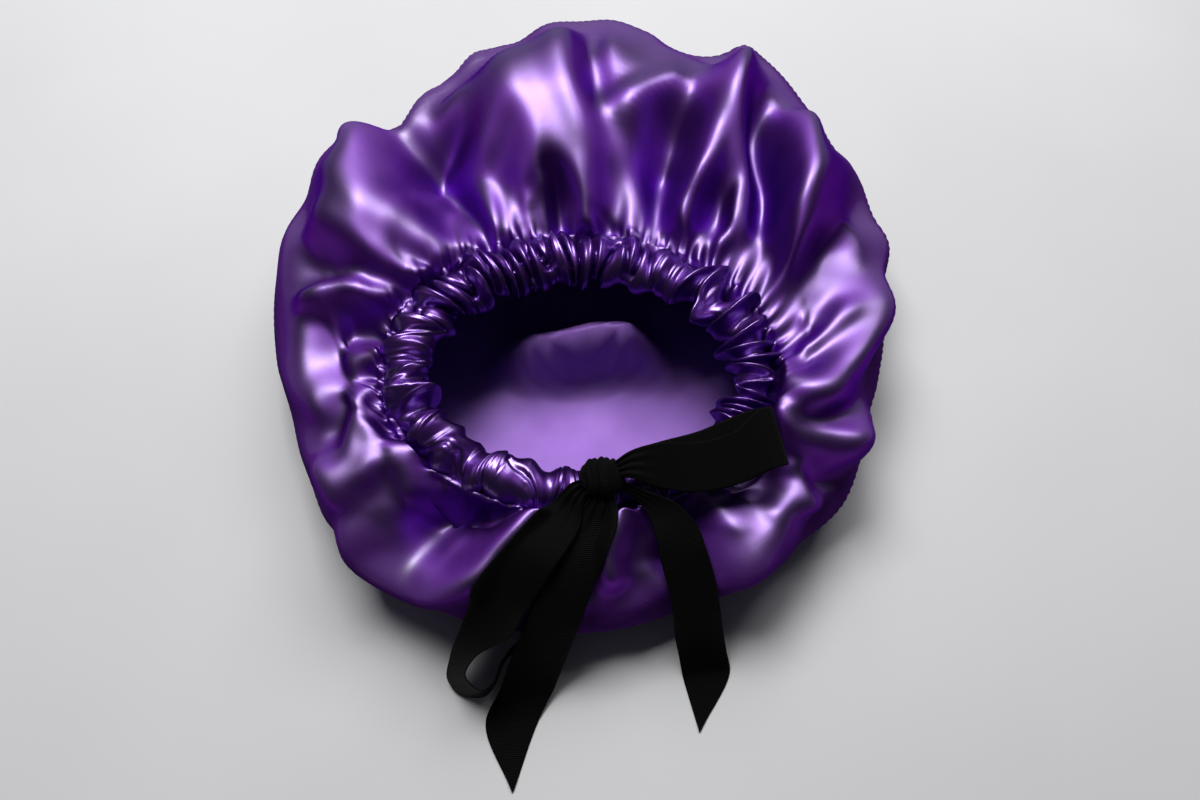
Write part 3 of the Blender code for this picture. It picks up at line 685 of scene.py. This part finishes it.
def crown_cloth():
    """The crown as satin cut wider than its mouth: it is gathered in and left to buckle.

    Returns its points and how far each lies from the middle of the flat cut.
    """
    rng = np.random.default_rng(7)
    points = None
    for level, (columns, rows, rounds) in enumerate(CLOTH_LEVELS):
        turn, place, base, normal, home = crown_grid(columns, rows)
        fade = smooth((1.4 - place) / 0.5)
        if level == 0:
            seed = SEED_HEIGHT[0] * waves(turn, rng, range(*SEED_COUNTS[0])) * fade
            points = home + normal * seed[..., None]
        else:
            points = finer(points, rows, columns)
            points += smooth((place - 0.04) / 0.2)[..., None] * (home - points)
            close = np.exp(-place / SEED_REACH[level])
            seed = SEED_HEIGHT[level] * waves(turn, rng, range(*SEED_COUNTS[level]))
            points = points + normal * (seed * close)[..., None]
        spare = sum(share * np.exp(-place / reach) for share, reach in EXCESS[: level + 1])
        spare = spare * fade * np.ones(points.shape[:2])
        ease = np.ones(points.shape[:2])
        ease[place[:, 0] > FIXED_FROM] = 0
        points[ease == 0] = base[ease == 0]
        if level == len(CLOTH_LEVELS) - 1:
            rim = 2.0 * waves(turn, rng, range(50, 75))
            points[0] = base[0]
            points[0, :, 2] += rim[0]
            ease[0] = 0
        hold = HOLD + HOLD_RIM * np.exp(-place / 0.05) + HOLD_UNDER * smooth((place - 0.9) / 0.3)
        hold = hold * np.ones_like(ease)
        outer = smooth((place - 0.05) / 0.3)
        soft = (SOFT_RIM + (SOFT_OUT - SOFT_RIM) * outer)[..., None]
        points = settle(points, home, base, spare, ease, hold, rounds, soft, above_floor)
    flat = CROWN_CUT * (1 - 0.28 * place)
    return points, flat * np.ones_like(turn)


def casing_centre(turn):
    x = MOUTH_X + MOUTH_HALF_X * np.cos(turn)
    y = MOUTH_Y + MOUTH_HALF_Y * np.sin(turn)
    z = blend_height(turn, SECTION[0][2], SECTION[0][3], SECTION[0][4]) + CASING_LIFT
    return np.stack([x, y, z], axis=-1)


def inner_fold(x, y):
    """Height of the fold that stands for the lit band which the photo shows inside the mouth."""
    line = -38 + 2 * np.sin(x / 14)
    high = np.interp(x, (-58, -28, -8, 5, 28, 56), (0, 38, 46, 50, 48, 0))
    return high * np.exp(-(((y - line) / np.where(y < line, 8, 16)) ** 2))


def make_crown(outer, inner):
    points, flat = crown_cloth()
    columns = points.shape[1]
    turn = np.linspace(0, 2 * math.pi, columns, endpoint=False)
    centre = casing_centre(turn)[None]
    rings, spans = [points], [flat]
    for step, (share, drop) in enumerate(TUCK):
        ring = points[:1].copy()
        ring[..., :2] = centre[..., :2] + share * (ring[..., :2] - centre[..., :2])
        ring[..., 2] = centre[..., 2] - drop
        rings.insert(0, ring)
        spans.insert(0, flat[:1] + (step + 1) * TUCK_STEP)
    edge = points[-1]
    for share in FLOOR_RINGS:
        ring = edge * share
        x, y = ring[:, 0], ring[:, 1]
        lump = np.sin(x / 13 + y / 31 + 1) + np.sin(y / 24 - x / 11) + np.sin(y / 9 + x / 20)
        ring[:, 2] = CLOTH_LOWEST + (1 - share) * (3.0 + lump) + inner_fold(x, y)
        rings.append(ring[None])
        spans.append(flat[-1:] * share)
    grid = np.concatenate(rings)
    span = np.concatenate(spans)
    rows = len(grid)
    faces = grid_faces(columns, rows)
    last = (rows - 1) * columns
    hub = rows * columns
    for column in range(columns):
        faces.append((last + column, hub, last + (column + 1) % columns))
    middle = (0, 0, 1.4 + inner_fold(0, 0))
    everything = np.concatenate([grid.reshape(-1, 3), [middle]])
    crown = make_object("crown_satin", everything, faces, (outer, inner))
    uv = np.stack([span * np.cos(turn), span * np.sin(turn)], axis=-1).reshape(-1, 2) * MM
    set_uv(crown.data, np.concatenate([uv, [(0, 0)]]))
    wall = crown.modifiers.new("wall", "SOLIDIFY")
    wall.thickness = CLOTH_THICK * MM
    wall.offset = -1
    wall.material_offset = 1
    wall.material_offset_rim = 0
    return crown


def around_table(table, column, turn):
    """A column of a table at an angle in radians; its rows start with the angle in degrees."""
    table = np.array(table, float)
    return np.interp(np.degrees(turn) % 360, table[:, 0], table[:, column], period=360)


def distance_to_line(field, points):
    """How far each point of a grid lies from the line where the field is 0, in mm."""
    across, down = grid_steps(points)
    slope_x = (np.roll(field, -1, axis=1) - np.roll(field, 1, axis=1)) / (2 * across)
    slope_y = np.gradient(field, axis=0) / down
    return np.abs(field) / np.sqrt(slope_x**2 + slope_y**2 + 1e-4)


def make_casing(material):
    """The casing as a tube of satin crowded along the elastic.

    Its spare cloth stands up in one fold that winds back and forth between the tube's two sides.
    """
    rng = np.random.default_rng(11)
    columns, rows = CASING_GRID
    turn = np.linspace(0, 2 * math.pi, columns, endpoint=False)[None, :]
    around = np.interp(np.linspace(0, 1, rows), (0, 0.75, 1), (-0.6, 4.0, 5.4))[:, None]
    size = around_table(CASING_FOLDS, 1, turn)
    share = around_table(CASING_FOLDS, 3, turn)
    phase = np.cumsum(around_table(CASING_FOLDS, 2, turn), axis=1)
    phase *= 2 * math.pi / columns
    phase *= round(phase[0, -1] / (2 * math.pi)) * 2 * math.pi / phase[0, -1]
    outward = np.stack([np.cos(turn), np.sin(turn), np.zeros_like(turn)], axis=-1)
    size = size * (1 + 0.07 * waves(turn, rng, range(12, 34)))
    aside = waves(turn, rng, range(12, 34))[..., None]
    centre = casing_centre(turn) + outward * CASING_WANDER * aside
    centre[..., 2] += CASING_WANDER * waves(turn, rng, range(12, 34))
    half_width = CASING_HALF_WIDTH - CASING_INSIDE[0]
    half_height = CASING_HALF_HEIGHT - CASING_INSIDE[1]
    home = centre + outward * (half_width * size * np.cos(around))[..., None]
    home[..., 2] += half_height * size * np.sin(around)
    away = home - centre
    away /= np.linalg.norm(away, axis=-1, keepdims=True)
    side = around / (math.pi / 2) - 1
    lean = 1.1 * np.sin(1.8 * side + 1.5 * waves(turn, rng, range(3, 9)))
    strength = np.clip(1.0 + 0.5 * waves(turn, rng, range(8, 20)), 0.35, 1.6)
    wave = strength * np.cos(phase + 1.6 * waves(turn, rng, range(3, 9)) + lean)
    field = wave - (side - 0.15 * waves(turn, rng, range(3, 12))) / 0.95
    distance = distance_to_line(field, home) / size
    pitch = around_table(CASING_FOLDS, 2, turn)
    near = distance / (0.5 + 33 / pitch)
    standing = 7.0 * np.exp(-(near**2)) + 1.5 * np.exp(-((near / 3) ** 2))
    near = distance / (0.5 + 14 / pitch)
    puffs = 8.0 - 6.0 * np.exp(-(near**2)) - 4.0 * np.exp(-((near / 3) ** 2))
    small = waves(turn, rng, range(60, 90)) * np.cos(lean)
    small = small + waves(turn, rng, range(60, 90)) * np.sin(lean)
    seed = (1 - share) * standing + share * puffs + 0.08 * small
    seed *= smooth((np.sin(around) + 0.9) / 0.6)
    points = home + away * seed[..., None]
    ease = np.ones(home.shape[:2])
    spare = CASING_SPARE * ease

    def limit(moved):
        off = moved - centre
        far = np.linalg.norm(off, axis=-1, keepdims=True)
        return centre + off * np.clip(far, CORE, FARTHEST) / np.maximum(far, 1e-6)

    points = settle(
        points, points, points, spare, ease, 0.05 * ease, CASING_ROUNDS, 0.02, limit
    )
    faces = grid_faces(columns, rows)
    casing = make_object("casing_satin", points.reshape(-1, 3), faces, (material,))
    down = grid_steps(home)[1]
    tall = np.cumsum(down, axis=0) - down
    uv = np.stack(np.broadcast_arrays(turn * CASING_TURN, tall), axis=-1)
    set_uv(casing.data, uv.reshape(-1, 2) * MM)
    return casing


def through_rows(table, count):
    """Rows at even steps along a smooth curve through a table's rows, and how far along each is."""
    table = np.array(table, float)
    middle = (table[:, 0:3] + table[:, 3:6]) / 2
    run = np.concatenate([[0], np.cumsum(np.linalg.norm(np.diff(middle, axis=0), axis=1))])
    slope = np.gradient(table, run, axis=0)
    wanted = np.linspace(0, run[-1], count)
    row = np.clip(np.searchsorted(run, wanted, side="right") - 1, 0, len(run) - 2)
    step = (run[row + 1] - run[row])[:, None]
    x = (wanted - run[row])[:, None] / step
    return hermite(x, table[row], table[row + 1], step, slope[row], slope[row + 1]), wanted


def make_ribbon(name, table, starts, count, below, material):
    """A ribbon laid along a table of edge points, over what lies below it.

    It starts, and a loop also ends, pleated inside the knot.
    """
    columns = RIBBON_COLUMNS
    rows, run = through_rows([starts[0], *table, *starts[1:]], count)
    across = np.linspace(0, 1, columns + 1)[None, :, None]
    grid = rows[:, None, 0:3] * (1 - across) + rows[:, None, 3:6] * across
    lift = np.zeros(grid.shape[:2])
    for i in range(count):
        for j in range(columns + 1):
            x, y, z = grid[i, j]
            for tree in below:
                hit = tree.ray_cast((x, y, 300.0), (0, 0, -1))[0]
                if hit and hit.z > UNDER_FROM:
                    above = THIN_SHARE * (rows[i, 6] - THICK_ABOVE)
                    lift[i, j] = max(lift[i, j], hit.z + THIN_ABOVE + above - z)
    for _ in range(4):
        wide = np.pad(lift, 1, mode="edge")
        mean = wide[:-2, 1:-1] + wide[2:, 1:-1] + wide[1:-1, :-2] + wide[1:-1, 2:]
        lift = np.maximum(lift, mean / 4)
    near = run if len(starts) == 1 else np.minimum(run, run[-1] - run)
    pleat = np.exp(-((near / PLEAT_REACH) ** 2))[:, None]
    pleat = pleat * np.cos(7 * math.pi * across[..., 0] + 0.6)
    grid[..., 2] = np.maximum(grid[..., 2] + lift + PLEAT_HEIGHT * pleat, RIBBON_LOWEST)
    along = np.gradient(grid, axis=0)
    width = np.gradient(grid, axis=1)
    normal = np.cross(along, width)
    normal /= np.linalg.norm(normal, axis=-1, keepdims=True)
    faces = []
    stride = columns + 1
    for i in range(count - 1):
        for j in range(columns):
            a = i * stride + j
            faces.append((a, a + 1, a + stride + 1, a + stride))
    ribbon = make_object(name, grid.reshape(-1, 3), faces, (material,))
    flat = np.broadcast_arrays(across[..., 0] * RIBBON_WIDTH, run[:, None])
    uv = np.stack(flat, axis=-1)
    set_uv(ribbon.data, uv.reshape(-1, 2) * MM)
    wall = ribbon.modifiers.new("wall", "SOLIDIFY")
    wall.thickness = RIBBON_THICK * MM
    wall.offset = 0
    return ribbon


def make_knot(material):
    """The bow's middle: a pleated wrap whose pleats run from front to back."""
    rows, columns = 72, 96
    along = np.linspace(-1, 1, rows)[:, None]
    turn = np.linspace(0, 2 * math.pi, columns, endpoint=False)[None, :]
    girth = np.sqrt(np.maximum(1 - np.abs(along) ** 2.6, 0.0))
    lean = along + 0.10 * np.sin(turn + 0.5) + 0.06 * np.sin(2 * turn)
    pleat = np.abs(np.sin(5.5 * lean + 0.8)) ** 0.7 + 0.35 * np.sin(23 * lean + turn)
    ring = girth * (0.86 + 0.11 * pleat)
    x = KNOT[0] + (KNOT_HALF[0] - 0.3) * along + 0 * turn
    y = KNOT[1] + KNOT_HALF[1] * ring * np.cos(turn)
    z = KNOT[2] + KNOT_HALF[2] * ring * np.sin(turn)
    points = np.stack(np.broadcast_arrays(x, y, z), axis=-1)
    knot = make_object("knot_ribbon", points.reshape(-1, 3), grid_faces(columns, rows), (material,))
    uv = np.stack(np.broadcast_arrays(along * KNOT_FLAT[0], turn * KNOT_FLAT[1]), axis=-1)
    set_uv(knot.data, uv.reshape(-1, 2) * MM)
    return knot


class Nodes:
    """A few short ways to build a material's nodes."""

    def __init__(self, name):
        self.material = bpy.data.materials.new(name)
        self.material.use_nodes = True
        self.tree = self.material.node_tree
        self.shader = self.tree.nodes["Principled BSDF"]

    def add(self, kind, **values):
        node = self.tree.nodes.new(kind)
        for key, value in values.items():
            if hasattr(node, key):
                setattr(node, key, value)
            else:
                node.inputs[key.replace("_", " ")].default_value = value
        return node

    def link(self, a, out, b, socket):
        self.tree.links.new(a.outputs[out], b.inputs[socket])


def noise(nodes, coordinates, scale, detail, stretch=(1, 1, 1)):
    mapping = nodes.add("ShaderNodeMapping")
    mapping.inputs["Scale"].default_value = stretch
    nodes.link(coordinates[0], coordinates[1], mapping, "Vector")
    texture = nodes.add("ShaderNodeTexNoise")
    texture.inputs["Scale"].default_value = scale
    texture.inputs["Detail"].default_value = detail
    nodes.link(mapping, "Vector", texture, "Vector")
    return texture


def ramp(nodes, source, output, low, high, start=0.0, end=1.0):
    mix = nodes.add("ShaderNodeValToRGB")
    mix.color_ramp.elements[0].position = start
    mix.color_ramp.elements[1].position = end
    mix.color_ramp.elements[0].color = (*low, 1)
    mix.color_ramp.elements[1].color = (*high, 1)
    nodes.link(source, output, mix, "Fac")
    return mix


def map_range(nodes, source, output, ends):
    """A linear map. Its ends are From Min, From Max, To Min and To Max."""
    node = nodes.add("ShaderNodeMapRange")
    for socket, value in zip(("From Min", "From Max", "To Min", "To Max"), ends):
        node.inputs[socket].default_value = value
    nodes.link(source, output, node, "Value")
    return node


def bump(nodes, texture, strength, distance, below=None):
    node = nodes.add("ShaderNodeBump")
    node.inputs["Strength"].default_value = strength
    node.inputs["Distance"].default_value = distance
    nodes.link(texture, "Fac", node, "Height")
    if below:
        nodes.link(below, "Normal", node, "Normal")
    return node


def satin_material(
    name, dark, light, metal, rough, gloss, gloss_ior, under=1.0, level=(0.65, 0.92, 0.08)
):
    """Satin: a broad coloured sheen under a narrower, paler gloss.

    Two things here follow the photo rather than real satin. The gloss is strong on level faces
    alone: level is the normal's height where it starts and where it is full, and its least share.
    With under less than 1, the skirt near the floor gets painted shade: its colour is darker by
    that share, standing for the shadow there. It is also matt, because it would mirror the white
    floor.
    """
    nodes = Nodes(name)
    uv = nodes.add("ShaderNodeUVMap", uv_map="cloth")
    where = (uv, "UV")
    broad = noise(nodes, where, 30, 3)
    colour = ramp(nodes, broad, "Fac", dark, light, 0.3, 0.7)
    reach = nodes.add("ShaderNodeVectorMath", operation="LENGTH")
    nodes.link(uv, "UV", reach, "Vector")
    # Painted shade: the base colour darkens by the share under towards the floor, standing for the
    # shadow there.
    shade = map_range(nodes, reach, "Value", (*SKIRT_PAINTED_SHADE, under, 1.0))
    painted_shade = nodes.add("ShaderNodeVectorMath", operation="SCALE")
    nodes.link(colour, "Color", painted_shade, "Vector")
    nodes.link(shade, "Result", painted_shade, "Scale")
    nodes.link(painted_shade, "Vector", nodes.shader, "Base Color")
    surface = nodes.add("ShaderNodeNewGeometry")
    facing = nodes.add("ShaderNodeSeparateXYZ")
    nodes.link(surface, "Normal", facing, "Vector")
    upward = map_range(nodes, facing, "Z", (*level, 1.0))
    coat = nodes.add("ShaderNodeMath", operation="MULTIPLY")
    coat.inputs[1].default_value = COAT
    nodes.link(upward, "Result", coat, "Value")
    nodes.link(coat, "Value", nodes.shader, "Coat Weight")
    shine = noise(nodes, where, 90, 4)
    roughness = map_range(nodes, shine, "Fac", (0, 1, rough - 0.05, rough + 0.06))
    nodes.link(roughness, "Result", nodes.shader, "Roughness")
    matt = under != 1.0
    metallic = map_range(nodes, reach, "Value", (*SKIRT_MATT, 0.0 if matt else metal, metal))
    nodes.link(metallic, "Result", nodes.shader, "Metallic")
    if matt:
        nodes.shader.inputs["Specular IOR Level"].default_value = 0.0
    tangent = nodes.add("ShaderNodeTangent", direction_type="RADIAL", axis="Z")
    nodes.link(tangent, "Tangent", nodes.shader, "Tangent")
    nodes.shader.inputs["Anisotropic"].default_value = 0.45
    nodes.shader.inputs["Specular Tint"].default_value = (0.2, 0.1, 0.35, 1)
    nodes.shader.inputs["Coat Roughness"].default_value = gloss
    nodes.shader.inputs["Coat IOR"].default_value = gloss_ior
    threads = noise(nodes, where, 2600, 2, (1, 0.25, 1))
    place = nodes.add("ShaderNodeTexCoord")
    crease = noise(nodes, (place, "Object"), 90, 3)
    fine = bump(nodes, threads, 0.3, 0.0001)
    relief = bump(nodes, crease, 0.08, 0.0006, fine)
    nodes.link(relief, "Normal", nodes.shader, "Normal")
    nodes.link(relief, "Normal", nodes.shader, "Coat Normal")
    return nodes.material


def ribbon_material():
    """Black grosgrain, ribbed across its length."""
    nodes = Nodes("ribbon_grosgrain")
    uv = nodes.add("ShaderNodeUVMap", uv_map="cloth")
    ribs = nodes.add("ShaderNodeTexWave", wave_type="BANDS", bands_direction="Y")
    ribs.inputs["Scale"].default_value = 300
    ribs.inputs["Distortion"].default_value = 0.3
    nodes.link(uv, "UV", ribs, "Vector")
    colour = ramp(nodes, ribs, "Fac", (0.0008, 0.0008, 0.0009), (0.002, 0.002, 0.0022))
    nodes.link(colour, "Color", nodes.shader, "Base Color")
    nodes.shader.inputs["Roughness"].default_value = 0.62
    nodes.shader.inputs["Specular IOR Level"].default_value = 0.04
    nodes.shader.inputs["Sheen Weight"].default_value = 0.02
    nodes.shader.inputs["Sheen Roughness"].default_value = 0.5
    fine = bump(nodes, noise(nodes, (uv, "UV"), 3000, 2), 0.3, 0.0001)
    relief = bump(nodes, ribs, 0.6, 0.0003, fine)
    nodes.link(relief, "Normal", nodes.shader, "Normal")
    return nodes.material


def floor_material():
    nodes = Nodes("floor")
    place = nodes.add("ShaderNodeTexCoord")
    grain = noise(nodes, (place, "Object"), 3, 4)
    colour = ramp(nodes, grain, "Fac", (0.60, 0.60, 0.61), (0.66, 0.66, 0.67), 0.3, 0.7)
    nodes.link(colour, "Color", nodes.shader, "Base Color")
    nodes.shader.inputs["Roughness"].default_value = 0.7
    return nodes.material


def area_light(name, place, target, size, power):
    light = bpy.data.lights.new(name, "AREA")
    light.shape = "RECTANGLE"
    light.size, light.size_y = size
    light.energy = power
    lamp = bpy.data.objects.new(name, light)
    lamp.location = place
    lamp.rotation_euler = (Vector(target) - Vector(place)).to_track_quat("-Z", "Y").to_euler()
    bpy.context.scene.collection.objects.link(lamp)


def make_stage():
    """The camera that stands for the photo's, the floor, the window light and the room."""
    scene = bpy.context.scene
    tilt = math.radians(CAMERA_TILT)
    ahead = Vector((0, math.cos(tilt), -math.sin(tilt)))
    camera = bpy.data.objects.new("camera", bpy.data.cameras.new("camera"))
    camera.data.lens = 30
    camera.data.sensor_width = 36
    camera.location = Vector(CAMERA_AIM) - ahead * CAMERA_AWAY
    camera.rotation_euler = ahead.to_track_quat("-Z", "Y").to_euler()
    scene.collection.objects.link(camera)
    scene.camera = camera
    half = FLOOR_HALF
    corners = [(-half, -half, 0), (half, -half, 0), (half, half, 0), (-half, half, 0)]
    floor = make_object("floor", corners, [(0, 1, 2, 3)], (floor_material(),))
    area_light(
        "window", place=(-0.30, 0.62, 1.60), target=(0, -0.05, 0), size=(0.9, 0.7), power=24
    )
    area_light(
        "low_window", place=(0.35, 1.1, 1.40), target=(0, 0, 0), size=(1.4, 0.9), power=18
    )
    world = bpy.data.worlds.new("room")
    scene.world = world
    world.use_nodes = True
    tree = world.node_tree
    sky = tree.nodes["Background"]
    sky.inputs["Color"].default_value = (0.80, 0.84, 0.92, 1)
    ray = tree.nodes.new("ShaderNodeTexCoord")
    split = tree.nodes.new("ShaderNodeSeparateXYZ")
    fade = tree.nodes.new("ShaderNodeMapRange")
    fade.inputs["From Min"].default_value = -0.3
    fade.inputs["From Max"].default_value = 1.0
    fade.inputs["To Min"].default_value = 0.03
    fade.inputs["To Max"].default_value = 0.1
    tree.links.new(ray.outputs["Generated"], split.inputs["Vector"])
    tree.links.new(split.outputs["Y"], fade.inputs["Value"])
    tree.links.new(fade.outputs["Result"], sky.inputs["Strength"])
    scene.view_settings.view_transform = "Standard"


def tree_of(piece):
    """A search tree of a piece's surface, in mm."""
    graph = bpy.context.evaluated_depsgraph_get()
    mesh = piece.evaluated_get(graph).to_mesh()
    points = [vertex.co / MM for vertex in mesh.vertices]
    faces = [tuple(face.vertices) for face in mesh.polygons]
    return BVHTree.FromPolygons(points, faces)


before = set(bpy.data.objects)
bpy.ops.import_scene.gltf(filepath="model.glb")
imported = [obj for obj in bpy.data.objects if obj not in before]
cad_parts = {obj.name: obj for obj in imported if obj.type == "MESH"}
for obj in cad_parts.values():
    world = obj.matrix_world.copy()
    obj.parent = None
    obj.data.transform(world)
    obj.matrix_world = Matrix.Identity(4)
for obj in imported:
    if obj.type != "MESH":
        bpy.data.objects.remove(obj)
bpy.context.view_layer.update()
make_stage()
outer_satin = satin_material(
    "crown_outside",
    dark=(0.146, 0.030, 0.32),
    light=(0.178, 0.042, 0.385),
    metal=1.0,
    rough=0.52,
    gloss=0.40,
    gloss_ior=3.0,
    # under: how dark the painted shade on the skirt near the floor gets.
    under=0.42,
    level=(0.65, 0.92, 0.0),
)
inner_satin = satin_material(
    "crown_inside",
    dark=(0.28, 0.125, 0.53),
    light=(0.33, 0.16, 0.59),
    metal=0.15,
    rough=0.5,
    gloss=0.5,
    gloss_ior=1.5,
)
casing_satin = satin_material(
    "casing_outside",
    dark=(0.115, 0.022, 0.27),
    light=(0.155, 0.033, 0.35),
    metal=1.0,
    rough=0.44,
    gloss=0.24,
    gloss_ior=3.0,
    level=(0.2, 0.8, 0.3),
)
grosgrain = ribbon_material()
crown = make_crown(outer_satin, inner_satin)
casing = make_casing(casing_satin)
trees = (tree_of(crown), tree_of(casing))
knot = make_knot(grosgrain)
pieces = [
    (crown, "crown", "satin"),
    (casing, "band_casing", "casing_satin"),
    (knot, "bow_knot", "ribbon"),
]
for name, node, table, starts, count, length, left, held in RIBBONS:
    ribbon = make_ribbon(name, table, starts, count, trees, grosgrain)
    pieces.append((ribbon, node, "ribbon"))
for piece, node, slot in pieces:
    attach(piece, "root")
    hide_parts(node)
